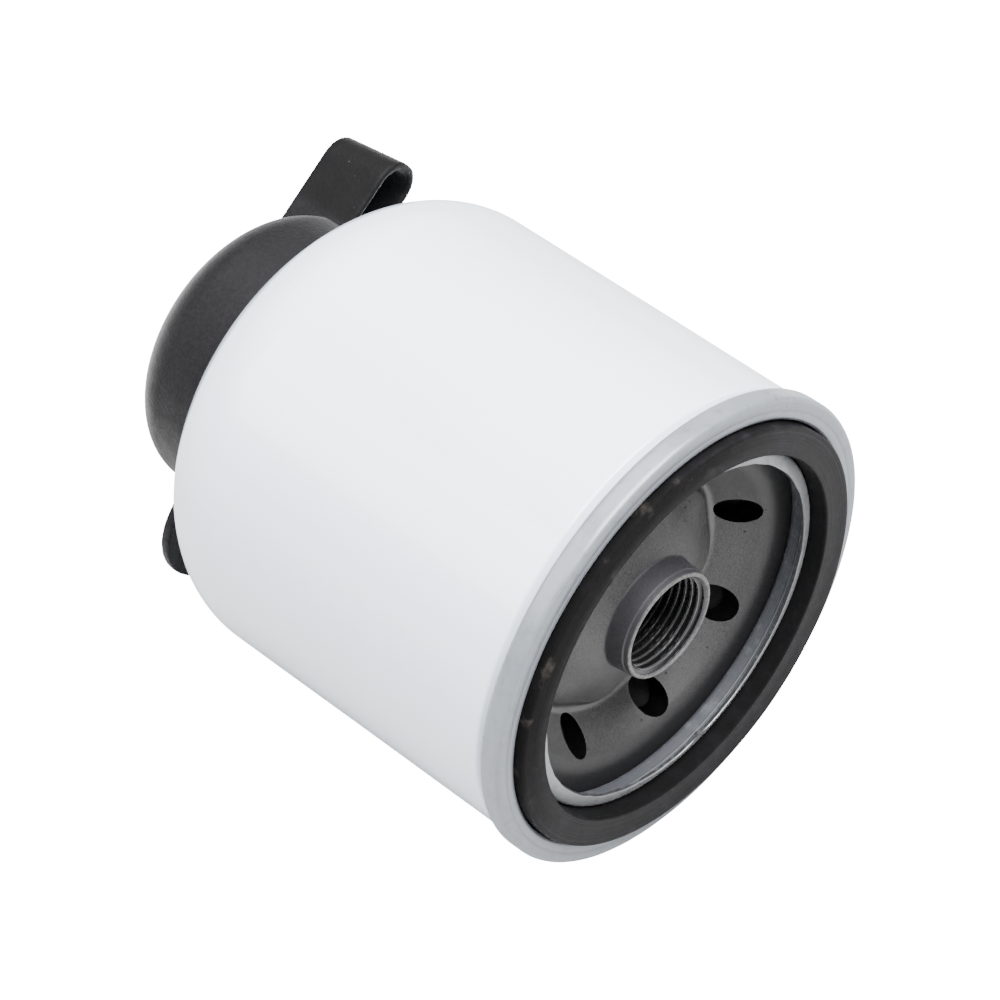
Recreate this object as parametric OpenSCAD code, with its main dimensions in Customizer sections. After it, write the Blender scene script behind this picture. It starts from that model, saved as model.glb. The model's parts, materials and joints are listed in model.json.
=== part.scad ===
// Spin-on oil filter with a pull-off magnet cap on its closed end.
// The axis lies along X with the open, threaded end towards +X, and the origin
// is the centre of the gasket's sealing face. Millimetres throughout.

/* [Can] */
// Outer radius of the can's straight wall
can_r = 45.8; // [45.6:0.1:46]
// Depth from the sealing face to the closed end
can_len = 97.3; // [96:0.1:100]
// Sheet thickness of the can
can_t = 0.5; // [0.4:0.05:0.6]
// Radius of the flat middle of the closed end
end_flat_r = 18.4; // [18:0.1:20]
// Height of the rounded corner along the axis
end_corner_h = 22.7; // [20:0.1:25]

/* [Seam and gasket] */
// Outer radius of the rolled seam
seam_r = 47; // [46.9:0.05:47.1]
// Sheet thickness of the seaming lid
lid_t = 0.7; // [0.6:0.05:0.75]
// Outer radius of the gasket
gasket_r = 42.3; // [42.1:0.1:42.4]
// Inner radius of the gasket
gasket_in_r = 36.6; // [36.4:0.1:37]
// Height of the gasket above the floor of its groove
gasket_h = 7.2; // [7.2:0.1:7.2]

/* [Base plate] */
// Plate thickness
plate_t = 3.2; // [3:0.1:3.4]
// Major radius of the M20 x 1.5 thread
thread_major_r = 10; // [9.9:0.05:10.1]
// Minor radius of the thread
thread_minor_r = 9.19; // [9.1:0.01:9.3]
// Pitch of the thread
thread_pitch = 1.5; // [1.5:0.1:1.5]
// Number of inlet holes
inlet_count = 8; // [6:1:8]
// Radius of an inlet hole
inlet_r = 3.3; // [2.5:0.1:3.5]
// Angle of the first inlet hole from straight up
inlet_phase = 8.4; // [0:0.1:44]

/* [Element] */
// Number of paper pleats
pleat_count = 48; // [36:1:56]
// Outer radius of the pleats
pleat_r = 37.2; // [35:0.1:37.3]
// Radius of the element's steel end caps
end_cap_r = 38.2; // [38:0.1:39]

/* [Bypass valve] */
// Travel of the poppet from shut to open
bypass_travel = 3; // [2:0.1:3.2]
// Wire diameter of the bypass spring
bypass_wire = 1; // [0.8:0.1:1]

/* [Magnet cap] */
// Radius of the rubber boot's straight side
boot_r = 28; // [27:0.1:28.5]
// Distance from the sealing face to the top of the boot
boot_reach = 119.8; // [119:0.1:121]
// Height of the domed part of the boot
dome_h = 13.6; // [12:0.1:14]
// Angle of the pull loop from straight up, away from the front
loop_angle = 53; // [0:1:90]
// Angle of the flat tab from straight up, towards the front
tab_angle = 136; // [120:1:150]
// Width of the pull loop around the boot
loop_w = 11; // [10:0.1:12]
// Depth of the pull loop along the axis
loop_depth = 14.1; // [12:0.1:14.5]
// Distance from the axis to the top of the loop
loop_reach = 44; // [43:0.1:45]
// Distance from the axis to the tip of the flat tab
tab_reach = 43.2; // [42:0.1:45]
// Gap between the magnet cap and the can
cap_gap = 0.3; // [0.3:0.05:0.5]

/* [Hidden] */
round_fn = 160;

// Seam: layers from the inside out are lid, can, lid, can, lid.
seam_top = -1.6;
seam_h = 4.5;
seam_gap = 0.32;
fold_r = 0.7;
chuck_r = seam_r - 3.7 - lid_t / 2;
can_neck_r = chuck_r + lid_t / 2 + seam_gap + can_t / 2;
cover_hook_r = can_neck_r + can_t / 2 + seam_gap + lid_t / 2;
can_hook_r = cover_hook_r + lid_t / 2 + seam_gap + can_t / 2;
lid_outer_r = seam_r - lid_t / 2;
fold_top = seam_top - lid_t / 2;
fold_bottom = seam_top - seam_h + lid_t / 2;
can_hook_top = fold_top - 0.9;
groove_floor = -gasket_h - lid_t / 2;
groove_in_r = gasket_in_r - 0.25 - lid_t / 2;
lip_r = groove_in_r - 2.5;
lip_z = -2.95;
lip_bend_z = -3.75;

// Base plate: its flange lies under the groove's floor, then drops into a valley
// that holds the inlet holes and rises again to the threaded collar.
plate_r = 42.6;
flange_top = groove_floor - lid_t / 2;
flange_mid = flange_top - plate_t / 2;
valley_r = 24.7;
valley_mid = flange_mid - 8.75;
slope_top_r = 31.3;
hill_r = 10.8;
hill_mid = -11.3;
collar_r = 10.78;
collar_base_r = 11.2;
collar_top = -4.72;
collar_base = -9.8;
collar_bottom = -14.8;
first_crest = collar_top - 0.9;
thread_turns = 6;
inlet_pitch_r = 27;
inlet_z = -12.5;
inlet_tilt = 9;

// Element, from its open end to its closed end.
valve_t = 1.2;
valve_collar_r = 12.6;
valve_disc_z = -20.9;
sheet_t = 0.4;
cap_top_z = -23;
potting_h = 2;
potting_r = end_cap_r - 0.7;
media_top = cap_top_z - sheet_t / 2 - potting_h;
lower_cap_z = -84;
lower_cap_t = 0.5;
media_bottom = lower_cap_z + lower_cap_t / 2 + potting_h;
pleat_in_r = 22;
paper_step = 4.4;
tube_in_r = 16.2;
tube_t = 0.6;
tube_hole_r = 2.4;
tube_rows = 8;
tube_columns = 6;
seat_r = 8;

// Bypass valve: the poppet opens towards the open end.
cage_r = 12.6;
cage_top = -72;
cage_flange_z = lower_cap_z + 0.5;
poppet_r = 11.2;
poppet_z = -82.3;
poppet_t = 0.7;
bypass_coils = 4.5;
bypass_coil_r = 8.6;
bypass_low = poppet_z + poppet_t / 2 + bypass_wire / 2 + 0.05;
bypass_high = cage_top - 0.25 - bypass_wire / 2 - 0.05;

// Element spring between the lower end cap and the can.
support_wire = 2.2;
support_coils = 3;
support_top = lower_cap_z - lower_cap_t / 2 - support_wire / 2 - 0.05;
support_bottom = -can_len + can_t + support_wire / 2 + 0.05;

// Magnet cap.
magnet_r = 17.5;
magnet_in_r = 6;
magnet_h = 8;
keeper_r = 19;
keeper_t = 2;
contact_z = -can_len - cap_gap;
keeper_z = contact_z - magnet_h;
dome_base = -boot_reach + dome_h;
seat_top = -96;
loop_near = -102.3;
loop_wall = 1.5;
loop_hole_bottom = 29.4;
tab_near = -96.6;
tab_t = 2.4;

// ---------- geometry helpers ----------

function unit(v) = v / norm(v);
function turned(v) = [-v[1], v[0]];
function xy(p) = [p[0], p[1]];
function short_turn(a) = a > 180 ? a - 360 : a < -180 ? a + 360 : a;

// Points of an arc that rounds corner b, between a and c, to radius r.
function corner(a, b, c, r, n = 5) =
    let (u = unit(a - b), v = unit(c - b), half = acos(u * v) / 2,
         centre = b + unit(u + v) * (r / sin(half)),
         s = b + u * (r / tan(half)) - centre,
         e = b + v * (r / tan(half)) - centre,
         from = atan2(s[1], s[0]),
         turn = short_turn(atan2(e[1], e[0]) - from))
    [for (i = [0:n]) centre + r * [cos(from + turn * i / n), sin(from + turn * i / n)]];

// A path of [x, y, corner radius] with its corners rounded.
function rounded(p) = concat([xy(p[0])],
    [for (i = [1:len(p) - 2])
        each p[i][2] > 0 ? corner(xy(p[i - 1]), xy(p[i]), xy(p[i + 1]), p[i][2]) : [xy(p[i])]],
    [xy(p[len(p) - 1])]);

// A closed outline of [x, y, corner radius] with its corners rounded.
function rounded_loop(p) = let (n = len(p))
    [for (i = [0:n - 1])
        each p[i][2] > 0
            ? corner(xy(p[(i + n - 1) % n]), xy(p[i]), xy(p[(i + 1) % n]), p[i][2])
            : [xy(p[i])]];

function direction(p, i) = unit(p[i + 1] - p[i]);
function mitre(p, i) =
    let (n = len(p) - 1,
         a = turned(direction(p, max(i - 1, 0))),
         b = turned(direction(p, min(i, n - 1))),
         m = unit(a + b))
    m / (m * b);
// One side of a path, at distance d to its left.
function side(p, d) = [for (i = [0:len(p) - 1]) p[i] + mitre(p, i) * d];
function reversed(p) = [for (i = [len(p) - 1:-1:0]) p[i]];
// The outline of a sheet of thickness t along a path.
function ribbon(p, t) = concat(side(p, t / 2), reversed(side(p, -t / 2)));

// A quarter of an ellipse about [x, y], from angle a0 to a1.
function ellipse_arc(x, y, rx, ry, a0, a1, n = 12) =
    [for (i = [0:n]) let (a = a0 + (a1 - a0) * i / n) [x + rx * cos(a), y + ry * sin(a)]];

// Rings of a round wire along a coil whose radius runs from r0 to r1.
function coil_ring(r0, r1, z0, z1, coils, wire, sides, t) =
    let (a = 360 * coils * t, r = r0 + (r1 - r0) * t, z = z0 + (z1 - z0) * t)
    [for (j = [0:sides - 1]) let (b = 360 * j / sides, q = r + wire / 2 * cos(b))
        [q * cos(a), q * sin(a), z + wire / 2 * sin(b)]];

// The filter's own axis is Z in every module; this lays it along X.
module lay() {
    rotate([0, 90, 0]) rotate([0, 0, 180]) children();
}

module turned_part(outline) {
    rotate_extrude($fn = round_fn) polygon(outline);
}

module sheet_ring(path, t) {
    turned_part(ribbon(rounded(path), t));
}

module ring(r_in, r_out, z_low, z_high) {
    turned_part([[r_in, z_low], [r_out, z_low], [r_out, z_high], [r_in, z_high]]);
}

// A round wire wound as a coil, closed at both ends.
module coil(r0, r1, z0, z1, coils, wire, per_turn = 20, sides = 8) {
    n = round(coils * per_turn);
    points = [for (i = [0:n]) each coil_ring(r0, r1, z0, z1, coils, wire, sides, i / n)];
    skin = [for (i = [0:n - 1], j = [0:sides - 1])
        [i * sides + j, (i + 1) * sides + j,
         (i + 1) * sides + (j + 1) % sides, i * sides + (j + 1) % sides]];
    start = [for (j = [0:sides - 1]) j];
    finish = [for (j = [sides - 1:-1:0]) n * sides + j];
    polyhedron(points, concat(skin, [start], [finish]), convexity = 10);
}

// ---------- outer pieces ----------

function can_outer(z_offset, r_offset) =
    ellipse_arc(end_flat_r, -can_len + end_corner_h + z_offset,
        can_r - end_flat_r + r_offset, end_corner_h + r_offset, -90, 0, 16);

module can_shell() {
    outer = concat([[0, -can_len]], can_outer(0, 0), [[can_r, -8]]);
    inner = concat([[0, -can_len + can_t]], can_outer(0, -can_t), [[can_r - can_t, -8]]);
    hook = rounded([
        [can_r - can_t / 2, -8.4, 0],
        [can_r - can_t / 2, -7.9, 0.4],
        [can_neck_r, -6.5, 0.4],
        [can_neck_r, can_hook_top, fold_r],
        [can_hook_r, can_hook_top, fold_r],
        [can_hook_r, -4.9, 0]]);
    color("whitesmoke") lay() {
        turned_part(concat(outer, reversed(inner)));
        turned_part(ribbon(hook, can_t));
    }
}

module seaming_lid() {
    color("silver") lay() sheet_ring([
        [cover_hook_r, -3.7, 0],
        [cover_hook_r, fold_bottom, fold_r],
        [lid_outer_r, fold_bottom, fold_r],
        [lid_outer_r, fold_top, fold_r],
        [chuck_r, fold_top, fold_r],
        [chuck_r, groove_floor, fold_r],
        [groove_in_r, groove_floor, fold_r],
        [groove_in_r, lip_bend_z, fold_r],
        [lip_r, lip_z, 0]], lid_t);
}

// Cured sealing compound in the fold above the can's hook.
module seam_sealant() {
    z = can_hook_top + can_t / 2 + 0.05;
    color("tan") lay() ring(can_neck_r + 0.2, can_hook_r - 0.2, z, fold_top - lid_t / 2 - 0.05);
}

function thread_outline() = concat(
    [for (i = [0:thread_turns - 1], k = [0:3])
        let (z = first_crest - i * thread_pitch,
             step = thread_pitch * [0, 0.25, 0.5625, 0.6875][k],
             r = k < 2 ? thread_minor_r : thread_major_r)
        [r, z - step]],
    [[thread_minor_r, first_crest - thread_turns * thread_pitch],
     [thread_minor_r, collar_bottom]]);

module plate_body() {
    path = rounded([
        [plate_r, flange_mid, 0],
        [slope_top_r, flange_mid, 2.4],
        [valley_r, valley_mid, 3.1],
        [hill_r + 3.4, hill_mid - 1.7, 0]]);
    top = side(path, -plate_t / 2);
    bottom = side(path, plate_t / 2);
    turned_part(concat(top,
        [[collar_base_r, collar_base], [collar_r, collar_top - 0.4],
         [collar_r - 0.4, collar_top], [thread_major_r + 0.05, collar_top]],
        thread_outline(),
        [[bottom[len(bottom) - 1][0], collar_bottom]],
        reversed(bottom)));
}

module thread_plate() {
    color("dimgray") lay() difference() {
        plate_body();
        for (k = [0:inlet_count - 1])
            rotate([0, 0, inlet_phase + k * 360 / inlet_count])
                translate([inlet_pitch_r, 0, inlet_z])
                    rotate([0, -inlet_tilt, 0])
                        cylinder(h = 18, r = inlet_r, center = true, $fn = 48);
    }
}

module sealing_gasket() {
    edge = 0.3;
    color([0.1, 0.1, 0.1]) lay() turned_part([
        [gasket_in_r, edge - gasket_h], [gasket_in_r + edge, -gasket_h],
        [gasket_r - edge, -gasket_h], [gasket_r, edge - gasket_h],
        [gasket_r, -edge], [gasket_r - edge, 0],
        [gasket_in_r + edge, 0], [gasket_in_r, -edge]]);
}

// ---------- filter element ----------

// Rubber diaphragm that shuts the inlet holes from below when the flow stops.
module anti_drain_valve() {
    color([0.12, 0.12, 0.12]) lay() sheet_ring([
        [valve_collar_r, collar_bottom - 0.05, 0],
        [valve_collar_r, valve_disc_z, 1.5],
        [26.2, valve_disc_z, 1.5],
        [32.9, -12.05, 1.2],
        [37.4, -11.95, 0]], valve_t);
}

module upper_end_cap() {
    color("lightsteelblue") lay() sheet_ring([
        [11.6, -16.5, 0],
        [11.6, cap_top_z, 0.6],
        [end_cap_r, cap_top_z, 0.6],
        [end_cap_r, cap_top_z - 4, 0]], sheet_t);
}

module upper_potting() {
    color("firebrick") lay()
        ring(tube_in_r + tube_t + 0.1, potting_r, media_top, media_top + potting_h);
}

module lower_potting() {
    color("firebrick") lay()
        ring(tube_in_r + tube_t + 0.1, potting_r, media_bottom - potting_h, media_bottom);
}

function star(r_out, r_in) = [for (i = [0:2 * pleat_count - 1])
    let (r = i % 2 == 0 ? r_out : r_in, a = 180 * i / pleat_count) [r * cos(a), r * sin(a)]];

module pleated_media() {
    color("goldenrod") lay() translate([0, 0, media_bottom])
        linear_extrude(height = media_top - media_bottom)
            difference() {
                polygon(star(pleat_r, pleat_in_r));
                polygon(star(pleat_r - paper_step, pleat_in_r - paper_step));
            }
}

// Steel clip that joins the two ends of the paper over one pleat.
module media_clip() {
    clip_h = media_top - media_bottom - 6;
    color("silver") lay() translate([0, 0, media_bottom + 3])
        linear_extrude(height = clip_h)
            polygon([[33.2, -1.2], [37.6, -1.2], [37.6, 1.2], [33.2, 1.2],
                [33.2, 0.8], [37.25, 0.8], [37.25, -0.8], [33.2, -0.8]]);
}

module centre_tube() {
    low = lower_cap_z + lower_cap_t / 2 + 0.05;
    high = cap_top_z - sheet_t / 2 - 0.05;
    row_step = (media_top - media_bottom - 12) / tube_rows;
    color("gray") lay() difference() {
        ring(tube_in_r, tube_in_r + tube_t, low, high);
        for (row = [0:tube_rows - 1], column = [0:tube_columns / 2 - 1])
            translate([0, 0, media_bottom + 14 + row * row_step])
                rotate([90, 0, column * 360 / tube_columns + (row % 2) * 180 / tube_columns])
                    cylinder(h = 60, r = tube_hole_r, center = true, $fn = 32);
    }
}

module lower_end_cap() {
    color("lightsteelblue") lay() sheet_ring([
        [seat_r, lower_cap_z, 0],
        [end_cap_r, lower_cap_z, 0.6],
        [end_cap_r, lower_cap_z + 4, 0]], lower_cap_t);
}

module element_spring() {
    color("gray") lay()
        coil(14.2, 16.8, support_top, support_bottom, support_coils, support_wire, 24);
}

// ---------- bypass valve ----------

module bypass_cage() {
    color("silver") lay() difference() {
        sheet_ring([
            [15.8, cage_flange_z, 0],
            [cage_r, cage_flange_z, 0.5],
            [cage_r, cage_top, 1],
            [4, cage_top, 0]], 0.5);
        for (k = [0:1])
            rotate([0, 0, 90 * k])
                translate([-20, -5, -80.5]) cube([40, 10, 6]);
    }
}

module bypass_spring() {
    color("lightgray") lay()
        coil(bypass_coil_r, bypass_coil_r, bypass_low, bypass_high, bypass_coils, bypass_wire);
}

module bypass_poppet() {
    color("gray") lay() sheet_ring([
        [poppet_r, poppet_z, 0],
        [6.6, poppet_z, 0.5],
        [5.4, poppet_z + 2.4, 0.5],
        [0, poppet_z + 2.4, 0]], poppet_t);
}

module bypass_seal() {
    top = poppet_z - poppet_t / 2;
    color([0.15, 0.15, 0.15]) lay() ring(6.8, 10.8, top - 1, top);
}

// ---------- magnet cap ----------

module boot_body() {
    outer = ellipse_arc(0, dome_base, boot_r, dome_h, -90, 0, 14);
    turned_part(concat([[0, -boot_reach]], [for (i = [1:len(outer) - 1]) outer[i]],
        [[boot_r, seat_top], [0, seat_top]]));
}

// Everything that the boot must leave clear: the can's end, the magnet and its plate.
module boot_cavity() {
    turned_part(concat([[0, contact_z]], can_outer(-cap_gap, 0), [[can_r, -60], [0, -60]]));
    translate([0, 0, keeper_z]) cylinder(h = magnet_h + 1, r = magnet_r + 0.05, $fn = 96);
    translate([0, 0, keeper_z - keeper_t - 0.05])
        cylinder(h = keeper_t + 0.1, r = keeper_r + 0.05, $fn = 96);
}

module pull_loop() {
    half = loop_w / 2;
    hole = half - loop_wall;
    translate([0, 0, loop_near - loop_depth]) linear_extrude(height = loop_depth)
        difference() {
            polygon(rounded_loop([[19.6, -half, 0], [loop_reach, -half, 4.4],
                [loop_reach, half, 4.4], [19.6, half, 0]]));
            polygon(rounded_loop([[loop_hole_bottom, -hole, 0], [loop_reach - loop_wall, -hole, 3],
                [loop_reach - loop_wall, hole, 3], [loop_hole_bottom, hole, 0]]));
        }
}

module flat_tab() {
    translate([0, 0, tab_near - tab_t]) linear_extrude(height = tab_t)
        polygon(rounded_loop([[20, -15.4, 0], [tab_reach, -13.5, 12.4], [tab_reach, 13.5, 12.4],
            [20, 15.4, 0]]));
}

module magnet_boot() {
    color([0.25, 0.25, 0.25]) lay() difference() {
        union() {
            boot_body();
            rotate([0, 0, -loop_angle]) pull_loop();
            rotate([0, 0, tab_angle]) flat_tab();
        }
        boot_cavity();
    }
}

module ring_magnet() {
    color("dimgray") lay() ring(magnet_in_r, magnet_r, keeper_z, contact_z);
}

module magnet_plate() {
    color("silver") lay() translate([0, 0, keeper_z - keeper_t])
        cylinder(h = keeper_t, r = keeper_r, $fn = 96);
}

can_shell();
seaming_lid();
seam_sealant();
thread_plate();
sealing_gasket();
anti_drain_valve();
upper_end_cap();
upper_potting();
pleated_media();
media_clip();
centre_tube();
lower_potting();
lower_end_cap();
bypass_cage();
bypass_spring();
bypass_poppet();
bypass_seal();
element_spring();
magnet_boot();
ring_magnet();
magnet_plate();
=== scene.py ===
import json
import math

import bmesh
import bpy
from mathutils import Matrix, Vector, noise


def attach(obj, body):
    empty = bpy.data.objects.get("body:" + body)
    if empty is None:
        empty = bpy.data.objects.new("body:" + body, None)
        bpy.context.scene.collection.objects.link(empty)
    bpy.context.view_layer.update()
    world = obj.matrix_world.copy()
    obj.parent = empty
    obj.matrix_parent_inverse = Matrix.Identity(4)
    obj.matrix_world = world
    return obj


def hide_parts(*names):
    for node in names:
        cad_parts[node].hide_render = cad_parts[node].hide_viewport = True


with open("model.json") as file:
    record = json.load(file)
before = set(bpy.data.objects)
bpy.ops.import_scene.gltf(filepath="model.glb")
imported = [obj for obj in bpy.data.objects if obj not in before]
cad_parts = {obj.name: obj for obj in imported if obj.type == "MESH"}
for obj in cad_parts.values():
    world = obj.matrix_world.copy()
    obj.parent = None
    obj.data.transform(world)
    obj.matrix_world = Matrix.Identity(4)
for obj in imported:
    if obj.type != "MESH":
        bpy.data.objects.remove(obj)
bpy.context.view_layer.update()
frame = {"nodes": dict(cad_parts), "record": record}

# Everything below is drawn in millimetres: X runs along the filter's axis out of its
# open end, and X = 0 is the gasket's sealing face. Angles go round the axis from
# straight up towards the front.
MM = 0.001
SPIN = 288

# The drawn can, measured outside
CAN_R = 45.8
CAN_LEN = 97.3
CAN_T = 0.5
END_FLAT_R = 18.4
END_CORNER = 22.7

# The rolled lid and the gasket in its groove
SEAM_R = 47.0
SEAM_TOP = -1.6
SEAM_FOOT = -6.1
LID_T = 0.7
OUTER_GAP = 0.3
INNER_GAP = 0.25
GASKET_R = 42.3
GASKET_IN = 36.6
GASKET_H = 7.2
CHUCK_R = 44.55
LIP_BEND_X = -3.75
LIP_END = (33.5, -2.95)

# The base plate, its threaded collar and its inlet holes
PLATE_T = 3.2
FLANGE_TOP = -7.9
CREASE_R = 23.2
COLLAR_R = 11.05
COLLAR_TOP = -4.72
THREAD_MINOR = 9.19
THREAD_MAJOR = 10.0
LEAD_IN_X = -5.75
PITCH = 1.5
INLETS = 8
INLET_R = 3.3
INLET_RING_R = 27.0
INLET_PHASE = math.radians(8.4)
INLET_TILT = math.radians(9.0)

# The rubber cap on the closed end
BOOT_R = 28.0
BOOT_REACH = 119.8
DOME_H = 13.6
BOOT_SKIRT_X = -96.4
MAGNET_R = 19.05
LOOP_ANGLE = math.radians(-53.0)
LOOP_FAR_X = -116.5
LOOP_NEAR_X = -102.3
LOOP_REACH = 42.5
LOOP_FLARE = 1.5
LOOP_WALL = 1.4
TAB_ANGLE = math.radians(136.0)
TAB_FAR_X = -99.0
TAB_NEAR_X = -96.9
TAB_REACH = 43.2

# White that only the camera sees, on the floor and behind it
BACKDROP_GLOW = 16.0


# ---------- camera, light and floor ----------

def camera():
    """Looks down at 45 degrees, from a place 43.6 degrees round from the front towards the open end."""
    azimuth = math.radians(43.6)
    dip = math.radians(45.0)
    right = Vector((math.cos(azimuth), math.sin(azimuth), 0.0))
    ahead = Vector((-math.sin(azimuth) * math.cos(dip), math.cos(azimuth) * math.cos(dip), -math.sin(dip)))
    up = right.cross(ahead)
    data = bpy.data.cameras.new("camera")
    data.sensor_width = 36.0
    data.lens = 149.1
    data.clip_end = 20.0
    obj = bpy.data.objects.new("camera", data)
    bpy.context.scene.collection.objects.link(obj)
    place = (-33.1 * right + 24.4 * up - 721.7 * ahead) * MM
    turn = Matrix((right, up, -ahead)).transposed().to_4x4()
    obj.matrix_world = Matrix.Translation(place) @ turn
    bpy.context.scene.camera = obj
    return right, up, ahead


def area_light(name, place, target, size, power):
    data = bpy.data.lights.new(name, "AREA")
    data.shape = "RECTANGLE"
    data.size, data.size_y = size
    data.energy = power
    obj = bpy.data.objects.new(name, data)
    bpy.context.scene.collection.objects.link(obj)
    obj.location = place
    obj.rotation_euler = (Vector(target) - Vector(place)).to_track_quat("-Z", "Y").to_euler()


# ---------- outlines ----------

def arc(x, y, rx, ry, a0, a1, n):
    """Points on an ellipse about (x, y), from a0 to a1 degrees."""
    steps = [math.radians(a0 + (a1 - a0) * i / n) for i in range(n + 1)]
    return [(x + rx * math.cos(a), y + ry * math.sin(a)) for a in steps]


def corner(a, b, c, r, n):
    """Points that round corner b, between a and c, to radius r."""
    a, b, c = Vector(a[:2]), Vector(b[:2]), Vector(c[:2])
    u, v = (a - b).normalized(), (c - b).normalized()
    half = u.angle(v) / 2
    centre = b + (u + v).normalized() * (r / math.sin(half))
    first = b + u * (r / math.tan(half)) - centre
    last = b + v * (r / math.tan(half)) - centre
    start = math.atan2(first.y, first.x)
    turn = math.atan2(last.y, last.x) - start
    turn = (turn + math.pi) % (2 * math.pi) - math.pi
    angles = [start + turn * i / n for i in range(n + 1)]
    return [(centre.x + r * math.cos(t), centre.y + r * math.sin(t)) for t in angles]


def rounded(points, closed=False, n=6):
    """(x, y) or (x, y, corner radius) points, with each corner rounded to its radius."""
    out = []
    count = len(points)
    for i, p in enumerate(points):
        inner = closed or 0 < i < count - 1
        if len(p) > 2 and p[2] > 0 and inner:
            out += corner(points[i - 1], p, points[(i + 1) % count], p[2], n)
        else:
            out.append((p[0], p[1]))
    return out


def spaced(points, step, closed=False):
    """The same path with its long stretches cut into pieces of about step."""
    out = []
    ends = points[1:] + points[:1] if closed else points[1:]
    for p, q in zip(points, ends):
        n = max(1, round(math.dist(p, q) / step))
        out += [(p[0] + (q[0] - p[0]) * i / n, p[1] + (q[1] - p[1]) * i / n) for i in range(n)]
    return out if closed else out + [points[-1]]


def side(path, d):
    """A path moved d to its left."""
    out = []
    for i, p in enumerate(path):
        before = Vector(path[max(i - 1, 0)])
        after = Vector(path[min(i + 1, len(path) - 1)])
        here = Vector(p)
        legs = [v.normalized() for v in (here - before, after - here) if v.length > 1e-9]
        normals = [Vector((-v.y, v.x)) for v in legs]
        mitre = sum(normals, Vector((0, 0))).normalized()
        here = here + mitre * (d / mitre.dot(normals[0]))
        out.append((here.x, here.y))
    return out


def ribbon(path, t):
    """The closed outline of a sheet of thickness t along a path."""
    return side(path, t / 2) + side(path, -t / 2)[::-1]


# ---------- meshes ----------

def place_point(r, x, angle):
    return Vector((x, -r * math.sin(angle), r * math.cos(angle))) * MM


def wobble(seed, angle, detail, along=0.0):
    """Smooth noise, from about -1 to 1, that closes up round the axis. Each seed gives another."""
    spot = Vector((math.cos(angle) * detail, math.sin(angle) * detail, along))
    return noise.noise(spot + Vector((seed * 17.3, seed * 5.1, seed * 9.7)))


def shade(bm, crease):
    """Smooth faces, with the edges sharper than crease degrees kept sharp."""
    for face in bm.faces:
        face.smooth = True
    for edge in bm.edges:
        edge.smooth = len(edge.link_faces) == 2 and edge.calc_face_angle() < math.radians(crease)


def held(value):
    """The value, kept between 0 and 1."""
    return max(0.0, min(1.0, value))


def hump(value, middle, width):
    """1 at the middle, falling smoothly to 0 on both sides."""
    return math.exp(-((value - middle) / width) ** 2)


def finish_mesh(name, bm, crease=40.0):
    bmesh.ops.remove_doubles(bm, verts=bm.verts, dist=1e-7)
    bmesh.ops.dissolve_degenerate(bm, edges=bm.edges, dist=1e-7)
    bmesh.ops.recalc_face_normals(bm, faces=bm.faces)
    shade(bm, crease)
    mesh = bpy.data.meshes.new(name)
    bm.to_mesh(mesh)
    bm.free()
    obj = bpy.data.objects.new(name, mesh)
    bpy.context.scene.collection.objects.link(obj)
    return obj


def lathe(name, outline, shape=None, spin=SPIN, crease=40.0):
    """Turns a closed (radius, x) outline about the axis. shape(r, x, angle) may move each point."""
    bm = bmesh.new()
    rings = []
    for i in range(spin):
        angle = 2 * math.pi * i / spin
        points = [shape(r, x, angle) if shape else (r, x) for r, x in outline]
        rings.append([bm.verts.new(place_point(r, x, angle)) for r, x in points])
    count = len(outline)
    for ring, after in zip(rings, rings[1:] + rings[:1]):
        for k in range(count):
            m = (k + 1) % count
            if outline[k][0] < 1e-6 and outline[m][0] < 1e-6:
                continue
            bm.faces.new((ring[k], after[k], after[m], ring[m]))
    return finish_mesh(name, bm, crease)


def prism(name, far, near, x0, x1, angle):
    """Joins a (distance out, distance across) outline at x0 to one like it at x1, turned to an angle."""
    out = Vector((0, -math.sin(angle), math.cos(angle)))
    across = Vector((0, -math.cos(angle), -math.sin(angle)))
    bm = bmesh.new()
    low, high = [
        [bm.verts.new((out * u + across * v + Vector((x, 0, 0))) * MM) for u, v in outline]
        for outline, x in ((far, x0), (near, x1))
    ]
    bm.faces.new(low)
    bm.faces.new(high[::-1])
    for k in range(len(far)):
        m = (k + 1) % len(far)
        bm.faces.new((low[k], high[k], high[m], low[m]))
    return finish_mesh(name, bm)


def drill(name, place, direction, radius, depth):
    """A straight round cutter centred on a place. The walls that it cuts get material slot 1."""
    bm = bmesh.new()
    turn = direction.to_track_quat("Z", "Y").to_matrix().to_4x4()
    bmesh.ops.create_cone(
        bm, cap_ends=True, segments=48, radius1=radius * MM, radius2=radius * MM, depth=depth * MM,
        matrix=Matrix.Translation(place * MM) @ turn)
    for face in bm.faces:
        face.material_index = 1
    return finish_mesh(name, bm)


def apply_modifiers(obj):
    graph = bpy.context.evaluated_depsgraph_get()
    mesh = bpy.data.meshes.new_from_object(obj.evaluated_get(graph))
    obj.modifiers.clear()
    obj.data = mesh


def cut(obj, cutters, operation="DIFFERENCE"):
    for cutter in cutters:
        step = obj.modifiers.new("cut", "BOOLEAN")
        step.operation = operation
        step.solver = "EXACT"
        step.object = cutter
    apply_modifiers(obj)
    for cutter in cutters:
        bpy.data.objects.remove(cutter)


def soften(obj, crease):
    """Cleans up and shades a mesh that modifiers have changed."""
    bm = bmesh.new()
    bm.from_mesh(obj.data)
    bmesh.ops.remove_doubles(bm, verts=bm.verts, dist=2e-6)
    bmesh.ops.dissolve_degenerate(bm, edges=bm.edges, dist=2e-6)
    shade(bm, crease)
    bm.to_mesh(obj.data)
    bm.free()


# ---------- materials ----------

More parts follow.
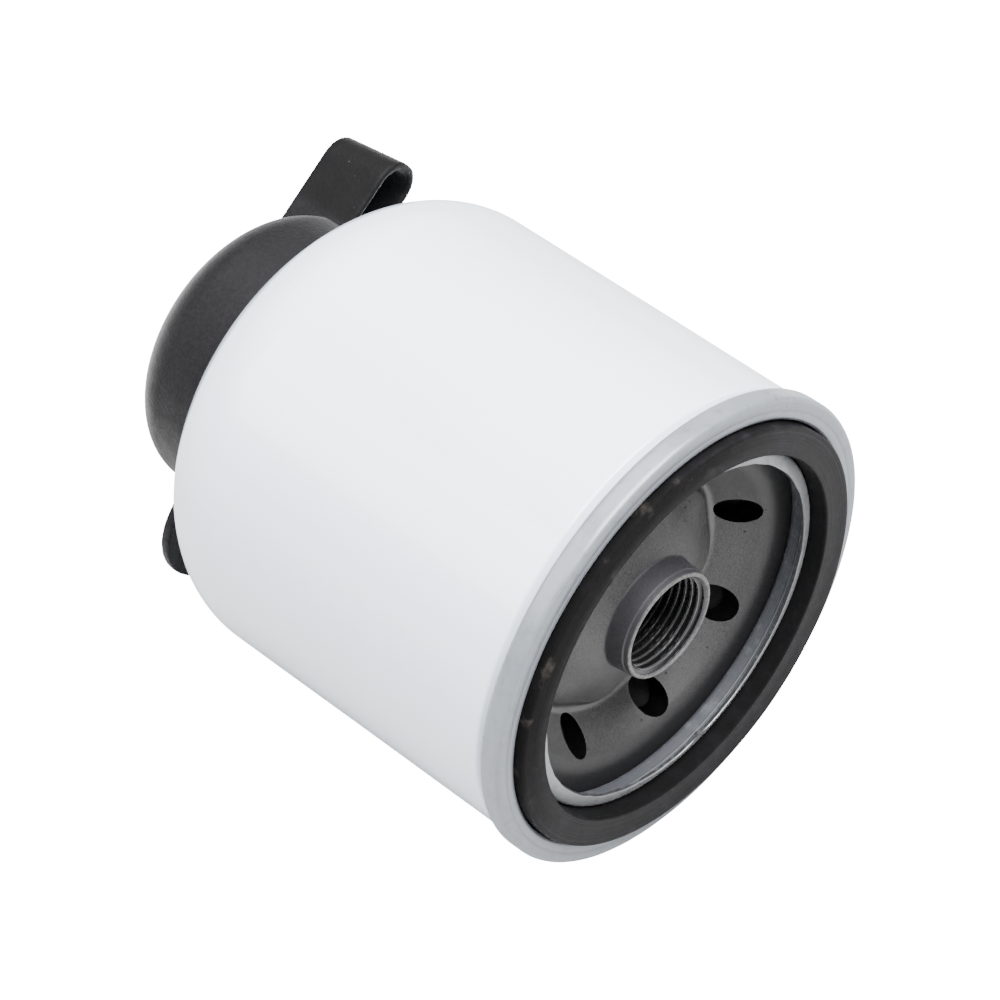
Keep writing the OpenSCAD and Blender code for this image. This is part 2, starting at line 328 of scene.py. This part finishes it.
class Paint:
    """A material's node tree, with a short call for each kind of node. Lengths here are in metres."""

    def __init__(self, name):
        self.material = bpy.data.materials.new(name)
        self.material.use_nodes = True
        self.tree = self.material.node_tree
        self.shader = self.tree.nodes["Principled BSDF"]
        self.where = self.add("ShaderNodeTexCoord").outputs["Object"]

    def add(self, kind, **settings):
        node = self.tree.nodes.new(kind)
        for key, value in settings.items():
            setattr(node, key, value)
        return node

    def feed(self, socket, value):
        if isinstance(value, bpy.types.NodeSocket):
            self.tree.links.new(value, socket)
        else:
            socket.default_value = value

    def math(self, operation, a, b=0.0):
        node = self.add("ShaderNodeMath", operation=operation)
        self.feed(node.inputs[0], a)
        self.feed(node.inputs[1], b)
        return node.outputs[0]

    def times(self, a, b):
        return self.math("MULTIPLY", a, b)

    def ring(self, radius, start, full, hold, end):
        """A band round the axis: rises from start to full and falls from hold to end, in metres."""
        return self.times(self.spread(radius, start, full), self.spread(radius, end, hold))

    def noise(self, scale, detail=4.0, rough=0.55, where=None):
        """Noise with features of about 1 / scale metres."""
        node = self.add("ShaderNodeTexNoise")
        self.feed(node.inputs["Vector"], where or self.where)
        node.inputs["Scale"].default_value = scale
        node.inputs["Detail"].default_value = detail
        node.inputs["Roughness"].default_value = rough
        return node.outputs["Fac"]

    def cells(self, scale):
        node = self.add("ShaderNodeTexVoronoi")
        self.feed(node.inputs["Vector"], self.where)
        node.inputs["Scale"].default_value = scale
        return node.outputs["Distance"]

    def spread(self, value, low, high, to_low=0.0, to_high=1.0):
        """Maps low..high to to_low..to_high, smoothly and held at the ends."""
        node = self.add("ShaderNodeMapRange", interpolation_type="SMOOTHSTEP")
        self.feed(node.inputs["Value"], value)
        node.inputs["From Min"].default_value = low
        node.inputs["From Max"].default_value = high
        node.inputs["To Min"].default_value = to_low
        node.inputs["To Max"].default_value = to_high
        return node.outputs["Result"]

    def blend(self, fac, a, b):
        node = self.add("ShaderNodeMix", data_type="RGBA")
        self.feed(node.inputs["Factor"], fac)
        self.feed(node.inputs["A"], a if isinstance(a, bpy.types.NodeSocket) else (*a, 1.0))
        self.feed(node.inputs["B"], b if isinstance(b, bpy.types.NodeSocket) else (*b, 1.0))
        return node.outputs["Result"]

    def between(self, fac, a, b):
        """A number that goes from a to b as fac goes from 0 to 1."""
        node = self.add("ShaderNodeMix")
        self.feed(node.inputs["Factor"], fac)
        self.feed(node.inputs["A"], a)
        self.feed(node.inputs["B"], b)
        return node.outputs["Result"]

    def polar(self):
        """Distance from the axis and distance along it, both in metres."""
        split = self.add("ShaderNodeSeparateXYZ")
        self.feed(split.inputs[0], self.where)
        x, y, z = split.outputs
        radius = self.math("SQRT", self.math("ADD", self.times(y, y), self.times(z, z)))
        return radius, x

    def turned(self):
        """A vector that is the same all the way round the axis, for turned marks."""
        radius, x = self.polar()
        join = self.add("ShaderNodeCombineXYZ")
        self.feed(join.inputs[0], radius)
        self.feed(join.inputs[1], x)
        return join.outputs[0]

    def stretched(self, scale):
        node = self.add("ShaderNodeMapping")
        self.feed(node.inputs["Vector"], self.where)
        node.inputs["Scale"].default_value = scale
        return node.outputs["Vector"]

    def bump(self, height, strength, distance, under=None):
        node = self.add("ShaderNodeBump")
        node.inputs["Strength"].default_value = strength
        node.inputs["Distance"].default_value = distance
        self.feed(node.inputs["Height"], height)
        if under:
            self.feed(node.inputs["Normal"], under)
        return node.outputs["Normal"]

    def done(self, colour, roughness, normal, metallic=0.0, **constants):
        self.feed(self.shader.inputs["Base Color"], colour)
        self.feed(self.shader.inputs["Roughness"], roughness)
        self.feed(self.shader.inputs["Normal"], normal)
        self.shader.inputs["Metallic"].default_value = metallic
        for key, value in constants.items():
            self.shader.inputs[key.replace("_", " ")].default_value = value
        return self.material


def can_paint():
    """Glossy white paint with a little orange peel, faint dust and a few specks."""
    p = Paint("can_paint")
    patches = p.noise(35.0, 3.0)
    specks = p.spread(p.cells(260.0), 0.045, 0.02)
    rare = p.spread(p.noise(120.0, 2.0), 0.66, 0.70)
    colour = p.blend(patches, (0.775, 0.86, 0.95), (0.80, 0.885, 0.975))
    colour = p.blend(p.times(specks, rare), colour, (0.35, 0.34, 0.32))
    rough = p.spread(p.noise(60.0, 5.0), 0.3, 0.75, 0.16, 0.27)
    peel = p.bump(p.noise(900.0, 2.0), 0.10, 0.00006)
    waves = p.bump(p.noise(45.0, 1.0), 0.25, 0.0004, peel)
    return p.done(colour, rough, waves, Coat_Weight=0.6, Coat_Roughness=0.05, IOR=1.5)


def lid_steel():
    """Bare coated sheet: turned streaks, small scratches and dull patches, with painted shade under its lip
    and in the chuck's groove.
    """
    p = Paint("lid_steel")
    streaks = p.noise(5000.0, 3.0, 0.6, p.turned())
    patches = p.noise(90.0, 5.0, 0.6)
    smears = p.noise(420.0, 4.0, 0.65)
    radius, x = p.polar()
    colour = p.blend(patches, (0.24, 0.25, 0.26), (0.34, 0.35, 0.36))
    # Painted shade on the groove's inner wall under the lip, and on the lip's raw edge, which lies under a
    # cone about the axis
    wall = p.times(p.spread(x, -0.0034, -0.0042), p.spread(radius, 0.0370, 0.0365))
    colour = p.blend(wall, colour, (0.070, 0.074, 0.085))
    below = p.math("ADD", x, p.times(radius, 0.32))
    shaded_raw_edge = p.times(p.spread(below, 0.00805, 0.00790), p.spread(radius, 0.0348, 0.0344))
    colour = p.blend(p.times(shaded_raw_edge, 0.95), colour, (0.008, 0.008, 0.010))
    # The rolled seam is bluer, with a darker ring of painted shade in the groove where the chuck pressed it
    seam = p.spread(radius, 0.0418, 0.0424)
    colour = p.blend(seam, colour, p.blend(patches, (0.185, 0.202, 0.228), (0.24, 0.258, 0.285)))
    chuck_groove_shade = p.ring(radius, 0.0441, 0.0445, 0.0446, 0.0450)
    top = p.times(chuck_groove_shade, p.spread(x, -0.0022, -0.0019))
    colour = p.blend(p.times(top, 0.35), colour, (0.10, 0.11, 0.12))
    # Wear all over: smears, then dark and pale streaks
    colour = p.blend(p.spread(smears, 0.50, 0.72, 0.0, 0.5), colour, (0.15, 0.165, 0.175))
    colour = p.blend(p.spread(streaks, 0.55, 0.72, 0.0, 0.5), colour, (0.16, 0.175, 0.19))
    colour = p.blend(p.spread(streaks, 0.40, 0.28, 0.0, 0.35), colour, (0.50, 0.52, 0.54))
    rough = p.spread(p.math("ADD", p.times(streaks, 0.4), p.times(patches, 0.6)), 0.3, 0.7, 0.24, 0.42)
    rough = p.between(wall, rough, 0.58)
    rough = p.between(shaded_raw_edge, rough, 0.95)
    scratch = p.bump(streaks, 0.20, 0.00005)
    dents = p.bump(p.noise(160.0, 3.0), 0.30, 0.0002, scratch)
    return p.done(colour, rough, dents, 0.25)


def plate_steel():
    """Dark phosphated plate: grainy, pitted, with painted shade outside and painted light and shade at its
    crease, rubbed on its collar, oily in its thread.
    """
    p = Paint("plate_steel")
    radius, x = p.polar()
    grain = p.noise(3200.0, 3.0, 0.7)
    mottle = p.noise(70.0, 3.0, 0.5)
    colour = p.blend(p.spread(grain, 0.3, 0.7), (0.052, 0.052, 0.053), (0.114, 0.112, 0.113))
    colour = p.blend(p.spread(mottle, 0.35, 0.7, 0.0, 0.35), colour, (0.085, 0.083, 0.082))
    # Painted shade: darker out towards the flange, which lies under the lid's overhanging lip
    shade = p.spread(radius, 0.0255, 0.0335, 0.0, 0.88)
    colour = p.blend(shade, colour, (0.014, 0.014, 0.016))
    # The valley's crease: a painted highlight outside it and a painted shadow inside it
    crease = CREASE_R * MM
    painted_crease_highlight = p.ring(radius, crease, crease + 0.0005, crease + 0.0009, crease + 0.0014)
    colour = p.blend(p.times(painted_crease_highlight, 0.55), colour, (0.19, 0.187, 0.182))
    painted_crease_shadow = p.ring(radius, crease - 0.0011, crease - 0.0006, crease - 0.0003, crease)
    colour = p.blend(p.times(painted_crease_shadow, 0.6), colour, (0.02, 0.02, 0.021))
    pits = p.spread(p.cells(420.0), 0.14, 0.06)
    pits = p.times(pits, p.spread(p.noise(90.0, 2.0), 0.53, 0.57))
    colour = p.blend(p.times(pits, 0.8), colour, (0.01, 0.01, 0.01))
    # The collar's side, its worn rim, and the oily thread, with painted highlights on its crests that fade
    # into painted shade deeper in the bore
    side = p.times(p.spread(x, -0.0105, -0.0095), p.spread(radius, 0.0118, 0.0112))
    colour = p.blend(p.times(side, 0.8), colour, (0.058, 0.056, 0.065))
    rim = p.times(p.spread(x, -0.0051, -0.00478), p.spread(radius, 0.0125, 0.0115))
    worn = p.times(rim, p.spread(p.noise(1300.0, 5.0, 0.8), 0.40, 0.60, 0.25, 1.0))
    colour = p.blend(worn, colour, (0.17, 0.168, 0.162))
    thread = p.times(p.spread(x, -0.0050, -0.0056), p.spread(radius, 0.0103, 0.0101))
    colour = p.blend(p.times(thread, 0.95), colour, (0.013, 0.013, 0.014))
    # Painted highlight on the thread's crests, fading to painted shade deeper in the bore
    crest = p.times(thread, p.spread(radius, 0.00942, 0.00925))
    crest = p.times(crest, p.spread(x, -0.0125, -0.0065, 0.25, 1.0))
    colour = p.blend(crest, colour, (0.11, 0.11, 0.11))
    rough = p.spread(grain, 0.25, 0.75, 0.46, 0.66)
    rough = p.between(thread, rough, 0.14)
    low = p.bump(pits, 0.5, -0.0002)
    fine = p.bump(grain, 0.40, 0.00012, low)
    return p.done(colour, rough, fine, 0.45)


def gasket_rubber():
    """Moulded black rubber with fine turned marks and dust, with painted shade on its inner wall and on its
    upper left, where it is also smudged.
    """
    p = Paint("gasket_rubber")
    marks = p.noise(3500.0, 2.0, 0.5, p.turned())
    dust = p.noise(260.0, 7.0, 0.7)
    radius = p.polar()[0]
    colour = p.blend(p.spread(dust, 0.40, 0.75), (0.0025, 0.0024, 0.0030), (0.0150, 0.0138, 0.0172))
    # Painted shade: the gasket's inner wall darker
    inner = p.spread(radius, 0.0370, 0.0367)
    colour = p.blend(p.times(inner, 0.75), colour, (0.0012, 0.0012, 0.0014))
    # Painted shade: darker and duller towards the top and the front, where real smudges lie too
    split = p.add("ShaderNodeSeparateXYZ")
    p.feed(split.inputs[0], p.where)
    high_and_front = p.math("SUBTRACT", p.times(split.outputs[2], 0.71), p.times(split.outputs[1], 0.71))
    shade_and_smudge_side = p.times(p.spread(high_and_front, 0.004, 0.038), p.spread(radius, 0.0374, 0.0400, 0.5, 1.0))
    colour = p.blend(p.times(shade_and_smudge_side, 0.85), colour, (0.0015, 0.0015, 0.0016))
    smudge = p.times(p.spread(p.noise(150.0, 4.0), 0.55, 0.75, 0.0, 0.30), shade_and_smudge_side)
    colour = p.blend(smudge, colour, (0.16, 0.14, 0.12))
    rough = p.spread(p.math("ADD", p.times(marks, 0.5), p.times(dust, 0.5)), 0.3, 0.7, 0.50, 0.70)
    rough = p.between(shade_and_smudge_side, rough, 0.95)
    rough = p.between(inner, rough, 0.85)
    ridges = p.bump(marks, 0.30, 0.00006)
    grain = p.bump(p.noise(1600.0, 3.0), 0.25, 0.00007, ridges)
    return p.done(colour, rough, grain, 0.0, Specular_IOR_Level=0.15)


def boot_rubber():
    """Matte moulded rubber with a fine even grain, a little paler where it is rubbed, and painted shade on
    its pull loop.
    """
    p = Paint("boot_rubber")
    grain = p.noise(1400.0, 4.0, 0.65)
    rubbed = p.noise(60.0, 3.0)
    colour = p.blend(p.spread(grain, 0.3, 0.8), (0.0035, 0.0033, 0.0040), (0.0080, 0.0076, 0.0088))
    colour = p.blend(p.spread(rubbed, 0.45, 0.7, 0.0, 0.25), colour, (0.011, 0.011, 0.012))
    specks = p.times(p.spread(p.cells(500.0), 0.10, 0.05), p.spread(p.noise(140.0), 0.60, 0.64))
    radius, x = p.polar()
    # Painted shade: the loop darker than the dome
    loop = p.times(p.spread(radius, 0.0275, 0.0300), p.spread(x, -0.1005, -0.1015))
    colour = p.blend(p.times(loop, 0.85), colour, (0.0010, 0.0010, 0.0012))
    colour = p.blend(p.times(specks, 0.5), colour, (0.20, 0.20, 0.19))
    rough = p.spread(p.noise(300.0, 4.0), 0.3, 0.7, 0.52, 0.68)
    bumps = p.bump(grain, 0.60, 0.00016)
    ripple = p.bump(p.noise(150.0, 2.0), 0.15, 0.0003, bumps)
    return p.done(colour, rough, ripple, 0.0,
                  Specular_IOR_Level=0.12, Sheen_Weight=0.28, Sheen_Roughness=0.35)


def plain(name, dark, light, rough, scale, metallic=0.0, shine=0.5):
    """A simple finish for the pieces inside: two tones, uneven gloss and a fine grain."""
    p = Paint(name)
    tone = p.noise(scale, 5.0, 0.6)
    colour = p.blend(p.spread(tone, 0.3, 0.7), dark, light)
    gloss = p.spread(p.noise(scale * 2.5, 4.0), 0.3, 0.7, rough[0], rough[1])
    normal = p.bump(p.noise(900.0, 3.0), 0.3, 0.0001)
    return p.done(colour, gloss, normal, metallic, Specular_IOR_Level=shine)


def paper():
    """Filter paper: fibres that run round the element, and small darker flecks."""
    p = Paint("filter_paper")
    fibres = p.noise(900.0, 6.0, 0.7, p.stretched((0.25, 1.0, 1.0)))
    colour = p.blend(fibres, (0.42, 0.27, 0.09), (0.72, 0.52, 0.24))
    flecks = p.spread(p.cells(1500.0), 0.20, 0.10, 0.0, 0.4)
    colour = p.blend(flecks, colour, (0.30, 0.18, 0.06))
    return p.done(colour, p.spread(fibres, 0.3, 0.7, 0.75, 0.9), p.bump(fibres, 0.5, 0.00015))


MATERIALS = {
    "can_paint": can_paint(),
    "lid_steel": lid_steel(),
    "plate_steel": plate_steel(),
    "gasket_rubber": gasket_rubber(),
    "boot_rubber": boot_rubber(),
    "filter_paper": paper(),
    "sealant": plain("sealant", (0.30, 0.25, 0.17), (0.42, 0.36, 0.26), (0.5, 0.7), 200.0),
    # Painted shade: the inlet holes' walls near black
    "hole_wall": plain("hole_wall", (0.001, 0.001, 0.001), (0.003, 0.003, 0.003), (0.7, 0.9), 400.0,
                       shine=0.03),
    "valve_rubber": plain("valve_rubber", (0.004, 0.004, 0.004), (0.009, 0.009, 0.009), (0.5, 0.7), 180.0,
                          shine=0.1),
    "tinned_steel": plain("tinned_steel", (0.42, 0.43, 0.45), (0.58, 0.59, 0.61), (0.25, 0.42), 120.0, 0.9),
    "potting": plain("potting", (0.20, 0.02, 0.015), (0.32, 0.05, 0.035), (0.3, 0.5), 90.0),
    "tube_steel": plain("tube_steel", (0.22, 0.22, 0.23), (0.36, 0.36, 0.37), (0.32, 0.5), 140.0, 0.85),
    "spring_steel": plain("spring_steel", (0.12, 0.12, 0.125), (0.24, 0.24, 0.25), (0.25, 0.4), 260.0, 0.9),
    "ferrite": plain("ferrite", (0.03, 0.03, 0.033), (0.07, 0.07, 0.075), (0.45, 0.62), 320.0, 0.1),
}
SLOTS = {s["node"]: s["material_slot"] for s in frame["record"]["subparts"]}


def dress(obj, slot):
    if obj.data.materials:
        obj.data.materials[0] = MATERIALS[slot]
    else:
        obj.data.materials.append(MATERIALS[slot])


def stand_for(obj, node, body):
    """obj takes the place, the body and the finish of a CAD node."""
    dress(obj, SLOTS[node])
    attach(obj, body)
    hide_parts(node)


# ---------- outer pieces ----------

def can_body():
    """The drawn can: flat end, elliptical corner, straight wall and the hook in the seam."""
    neck_r, hook_r, hook_x = 43.87, 45.71, -2.85
    low = -CAN_LEN + END_CORNER
    centre = CAN_T / 2
    wall = arc(END_FLAT_R, low, CAN_R - centre - END_FLAT_R, END_CORNER - centre, -90, 0, 40)
    hook = rounded([
        (CAN_R - centre, -8.4), (CAN_R - centre, -7.9, 0.5), (neck_r, -6.5, 0.4),
        (neck_r, hook_x, 0.69), (hook_r, hook_x, 0.69), (hook_r, -4.9)])
    path = spaced([(0.0, -CAN_LEN + centre)] + wall, 2.0)[:-1] + spaced([wall[-1], hook[0]], 2.0)[:-1] + hook
    outline = ribbon(path, CAN_T)

    def dented(r, x, angle):
        fade = held((r - 5.0) / 20.0) * held((-8.0 - x) / 6.0)
        dent = wobble(1, angle, 1.6, x / 30.0) * 0.05 + wobble(2, angle, 4.0, x / 12.0) * 0.015
        return r + (dent - 0.05) * fade, x

    obj = lathe("can_body", outline, dented)
    stand_for(obj, "can_shell", "can")


def rolled_seam():
    """The lid's double seam, gasket groove and raw lip, in one rolled sheet."""
    half = LID_T / 2
    seam_from, torn_width = GASKET_R + 0.1, 1.9
    hook_r, outer_r = 44.79, SEAM_R - half
    groove_out, groove_in = GASKET_R + OUTER_GAP + half, GASKET_IN - INNER_GAP - half
    top, foot, floor = SEAM_TOP - half, SEAM_FOOT + half, -GASKET_H - half
    path = rounded([
        (hook_r, -3.7), (hook_r, foot, 0.69), (outer_r, foot, 0.69), (outer_r, top, 0.7),
        (groove_out, top, 0.5), (groove_out, floor, 0.7), (groove_in, floor, 0.7),
        (groove_in, LIP_BEND_X, 0.7), LIP_END], n=8)
    outline = ribbon(spaced(path, 0.45), LID_T)

    def rolled(r, x, angle):
        if r > seam_from:
            crush = wobble(3, angle, 5.0, x / 4.0) * 0.045 + wobble(4, angle, 14.0) * 0.02
            chuck = -0.10 * hump(r, CHUCK_R, 0.28) if x > -2.2 else 0.0
            return r - 0.03 + crush, x + wobble(5, angle, 6.0) * 0.03 + chuck
        edge = held((LIP_END[0] + torn_width - r) / torn_width)
        turn = math.degrees(angle)
        # One notch and two small steps in the torn edge, by their angles
        jog = -0.75 * hump(turn, 192.0, 2.6) - 0.20 * hump(turn, 138.0, 1.6) + 0.18 * hump(turn, 262.0, 1.8)
        torn = wobble(6, angle, 9.0) * 0.22 + wobble(7, angle, 40.0) * 0.06 + jog
        return r + torn * edge, x + wobble(8, angle, 7.0) * 0.08 * edge

    obj = lathe("rolled_seam", outline, rolled, crease=50.0)
    stand_for(obj, "seaming_lid", "can")


def thread_radius(x, angle):
    """The M20 thread's wall at a depth x, a right-hand helix with its lead-in."""
    crest, flank = 0.24, 0.62
    turn = (x / PITCH + angle / (2 * math.pi)) % 1.0
    away = abs(turn - 0.5) * 2.0
    depth = held((away - crest) / flank)
    r = THREAD_MINOR + (THREAD_MAJOR - THREAD_MINOR) * depth
    return max(r, THREAD_MINOR + (x - LEAD_IN_X) * 0.9)


def base_plate():
    """The pressed plate: flange, holed slope, valley, lobed hill and threaded collar."""
    mid = FLANGE_TOP - PLATE_T / 2
    flange_r, slope_r, valley_r, hill_r = 42.6, 31.3, 24.7, 14.2
    valley_drop, hill_drop, bend = 8.75, 3.5, 2.6
    path = rounded([
        (flange_r, mid), (slope_r, mid, bend), (valley_r, mid - valley_drop, bend),
        (hill_r, mid - hill_drop)], n=10)
    top = [(r, x - 0.32 * hump(r, CREASE_R, 0.6)) for r, x in spaced(side(path, -PLATE_T / 2), 0.3)]
    bottom = side(path, PLATE_T / 2)
    collar = rounded([
        top[-1], (COLLAR_R + 0.25, -9.8, 0.5), (COLLAR_R, -6.05, 0.1), (COLLAR_R - 0.2, -5.8, 0.1),
        (COLLAR_R - 0.3, COLLAR_TOP, 0.3), (THREAD_MAJOR + 0.05, COLLAR_TOP)], n=6)[1:]
    wall = [(THREAD_MINOR, -4.8 - 0.05 * i) for i in range(201)]
    flat = [(bottom[-1][0], -14.8)]
    # In along the top, up the collar, down the threaded wall and out underneath
    outline = spaced(top + collar[:-1], 0.9) + collar[-1:] + wall + spaced(flat + bottom[::-1], 1.2)

    def pressed(r, x, angle):
        if r <= THREAD_MINOR + 1e-6:
            return thread_radius(x, angle), x
        # Between the inlets the hill spreads and rises a little, as the press leaves it
        lobe = math.cos(INLETS * (angle - INLET_PHASE))
        near = hump(r, 21.5, 3.2)
        sag = -0.35 * lobe * near
        uneven = wobble(9, angle, 3.0, r / 9.0) * 0.05 + wobble(10, angle, 9.0, r / 3.0) * 0.02
        return r + lobe * near * -0.45, x + sag + (uneven if r > 12.0 else 0.0)

    obj = lathe("base_plate", outline, pressed, crease=50.0)
    cutters = []
    for k in range(INLETS):
        angle = INLET_PHASE + 2 * math.pi * k / INLETS
        out = Vector((0, -math.sin(angle), math.cos(angle)))
        along = Vector((math.cos(INLET_TILT), 0, 0)) - out * math.sin(INLET_TILT)
        middle = out * INLET_RING_R + Vector((-12.5, 0, 0))
        cutters.append(drill("inlet_cutter", middle, along, INLET_R, 18.0))
    cut(obj, cutters)
    soften(obj, 50.0)
    stand_for(obj, "thread_plate", "can")
    # The holes' walls take the near-black finish of painted shade
    obj.data.materials.append(MATERIALS["hole_wall"])


def gasket_ring():
    """The square-cut gasket, with rounded edges, faint turned ridges and one side slightly raised."""
    outline = rounded([
        (GASKET_IN, -GASKET_H, 0.2), (GASKET_R, -GASKET_H, 0.2),
        (GASKET_R, 0.0, 0.45), (GASKET_IN, 0.0, 0.35)], closed=True, n=6)
    outline = spaced(outline, 0.35, closed=True)

    def moulded(r, x, angle):
        face = held((x + 1.0) / 0.8)
        ridge = 0.012 * math.sin(r * 9.0) + 0.010 * math.sin(r * 23.0)
        raised = max(0.0, math.cos(angle - math.radians(222.0)))
        outer = held((r - 38.0) / (GASKET_R - 38.0)) * raised
        rise = 0.40 * outer ** 2 - 0.03 + wobble(12, angle, 3.0) * 0.02
        return r + wobble(11, angle, 2.5) * 0.10 + 0.25 * outer * face, x + face * (ridge + rise)

    obj = lathe("gasket_ring", outline, moulded, crease=50.0)
    stand_for(obj, "sealing_gasket", "can")


# ---------- magnet cap ----------

def boot_shell():
    """The rubber dome, with the hollow that takes the magnet, as a closed turned solid."""
    base = -BOOT_REACH + DOME_H
    dome = arc(0, base, BOOT_R, DOME_H, -90, 0, 36)
    seat = arc(END_FLAT_R, -CAN_LEN + END_CORNER - 0.3, CAN_R - END_FLAT_R, END_CORNER, -90, -70.6, 10)[::-1]
    mouth_r, mouth_x, plate_x, roof_x = 17.6, -97.6, -105.6, -107.65
    hollow = [
        (mouth_r, mouth_x), (mouth_r, plate_x + 0.05), (MAGNET_R, plate_x), (MAGNET_R, roof_x), (0.0, roof_x)]
    return lathe("boot_shell", dome + [(BOOT_R, BOOT_SKIRT_X)] + seat + hollow, spin=180)


def arched(half, low, top, r):
    """A straight-sided outline with a rounded top, for the loop and for the gap in it."""
    return rounded([(low, -half), (top, -half, r), (top, half, r), (low, half)], closed=True, n=8)


def magnet_cap_boot():
    """Dome, pull loop and flat tab moulded as one piece, with soft fillets between them."""
    shell = boot_shell()
    half, past = 5.5, 1.4
    tips = (LOOP_REACH, LOOP_REACH + LOOP_FLARE)
    outer = [arched(half, 19.0, tip, 5.0) for tip in tips]
    inner = [arched(half - LOOP_WALL, 29.4, tip, 3.7) for tip in (LOOP_REACH - 1.6, LOOP_REACH)]
    arch = prism("loop", *outer, LOOP_FAR_X, LOOP_NEAR_X, LOOP_ANGLE)
    gap = prism("gap", *inner, LOOP_FAR_X - past, LOOP_NEAR_X + past, LOOP_ANGLE)
    cut(arch, [gap])
    flat = rounded([
        (20.0, -15.4), (TAB_REACH, -13.5, 12.6), (TAB_REACH, 13.5, 12.6), (20.0, 15.4)], closed=True, n=12)
    tab = prism("tab", flat, flat, TAB_FAR_X, TAB_NEAR_X, TAB_ANGLE)
    cut(shell, [arch, tab], "UNION")
    shell.name = "magnet_cap_boot"
    remesh = shell.modifiers.new("remesh", "REMESH")
    remesh.mode = "VOXEL"
    remesh.voxel_size = 0.38 * MM
    smooth = shell.modifiers.new("smooth", "SMOOTH")
    smooth.factor = 0.5
    smooth.iterations = 6
    apply_modifiers(shell)
    soften(shell, 60.0)
    stand_for(shell, "magnet_boot", "magnet_cap")


# ---------- springs and paper ----------

def coil(name, r0, r1, x0, x1, turns, wire):
    """A round wire spring that runs from radius r0 at x0 to radius r1 at x1."""
    sides, per_turn = 14, 48
    bm = bmesh.new()
    count = int(turns * per_turn)
    rings = []
    for i in range(count + 1):
        t = i / count
        angle = 2 * math.pi * turns * t
        r, x = r0 + (r1 - r0) * t, x0 + (x1 - x0) * t
        ring = []
        for j in range(sides):
            b = 2 * math.pi * j / sides
            point = place_point(r + wire / 2 * math.cos(b), x + wire / 2 * math.sin(b), angle)
            ring.append(bm.verts.new(point))
        rings.append(ring)
    for ring, after in zip(rings, rings[1:]):
        for j in range(sides):
            m = (j + 1) % sides
            bm.faces.new((ring[j], ring[m], after[m], after[j]))
    bm.faces.new(rings[0])
    bm.faces.new(rings[-1][::-1])
    return finish_mesh(name, bm)


def springs():
    valve = coil("valve_spring", 8.6, 8.6, -81.4, -72.8, 4.5, 1.0)
    stand_for(valve, "bypass_spring", "can")
    support = coil("support_spring", 14.2, 16.8, -85.4, -95.65, 3.0, 2.2)
    stand_for(support, "element_spring", "can")


def cad_pieces():
    """The CAD nodes that stay as they are, with their finishes."""
    for name, obj in frame["nodes"].items():
        if not obj.hide_render:
            obj.data.materials.clear()
            obj.data.materials.append(MATERIALS[SLOTS[name]])


# ---------- scene ----------

def bright_to_camera(tree, under, strength):
    """Adds white that only the camera sees, so that a backdrop looks white but lights nothing."""
    path = tree.nodes.new("ShaderNodeLightPath")
    glow = tree.nodes.new("ShaderNodeEmission")
    scale = tree.nodes.new("ShaderNodeMath")
    scale.operation = "MULTIPLY"
    scale.inputs[1].default_value = strength
    join = tree.nodes.new("ShaderNodeAddShader")
    tree.links.new(path.outputs["Is Camera Ray"], scale.inputs[0])
    tree.links.new(scale.outputs[0], glow.inputs["Strength"])
    tree.links.new(under, join.inputs[0])
    tree.links.new(glow.outputs[0], join.inputs[1])
    return join.outputs[0]


def studio(right, up, ahead):
    floor_mesh = bpy.data.meshes.new("floor")
    bm = bmesh.new()
    bmesh.ops.create_grid(bm, x_segments=1, y_segments=1, size=4.0)
    bm.to_mesh(floor_mesh)
    bm.free()
    floor = bpy.data.objects.new("floor", floor_mesh)
    bpy.context.scene.collection.objects.link(floor)
    floor.location.z = -SEAM_R * MM - 0.0002
    p = Paint("floor_white")
    p.done((0.50, 0.50, 0.50, 1.0), 0.9, p.bump(p.noise(40.0), 0.02, 0.0005))
    end = p.tree.nodes["Material Output"].inputs["Surface"]
    p.tree.links.new(bright_to_camera(p.tree, p.shader.outputs[0], BACKDROP_GLOW), end)
    floor.data.materials.append(p.material)

    world = bpy.data.worlds.new("studio")
    world.use_nodes = True
    back = world.node_tree.nodes["Background"]
    back.inputs["Color"].default_value = (0.97, 0.98, 1.0, 1.0)
    back.inputs["Strength"].default_value = 0.4
    end = world.node_tree.nodes["World Output"].inputs["Surface"]
    world.node_tree.links.new(bright_to_camera(world.node_tree, back.outputs[0], BACKDROP_GLOW), end)
    bpy.context.scene.world = world

    centre = Vector((-0.05, 0, 0))
    over = centre + Vector((0.10, 0.0, 0.95))
    area_light("top", over, centre, (0.9, 0.9), 59.0)
    left = centre - right * 0.8 + up * 0.35 - ahead * 0.45
    area_light("left", left, centre, (0.6, 0.5), 5.0)
    front = centre - ahead * 0.9 + right * 0.6
    area_light("front", front, centre, (0.4, 0.4), 1.5)


def main():
    right, up, ahead = camera()
    studio(right, up, ahead)
    can_body()
    rolled_seam()
    base_plate()
    gasket_ring()
    magnet_cap_boot()
    springs()
    cad_pieces()


main()
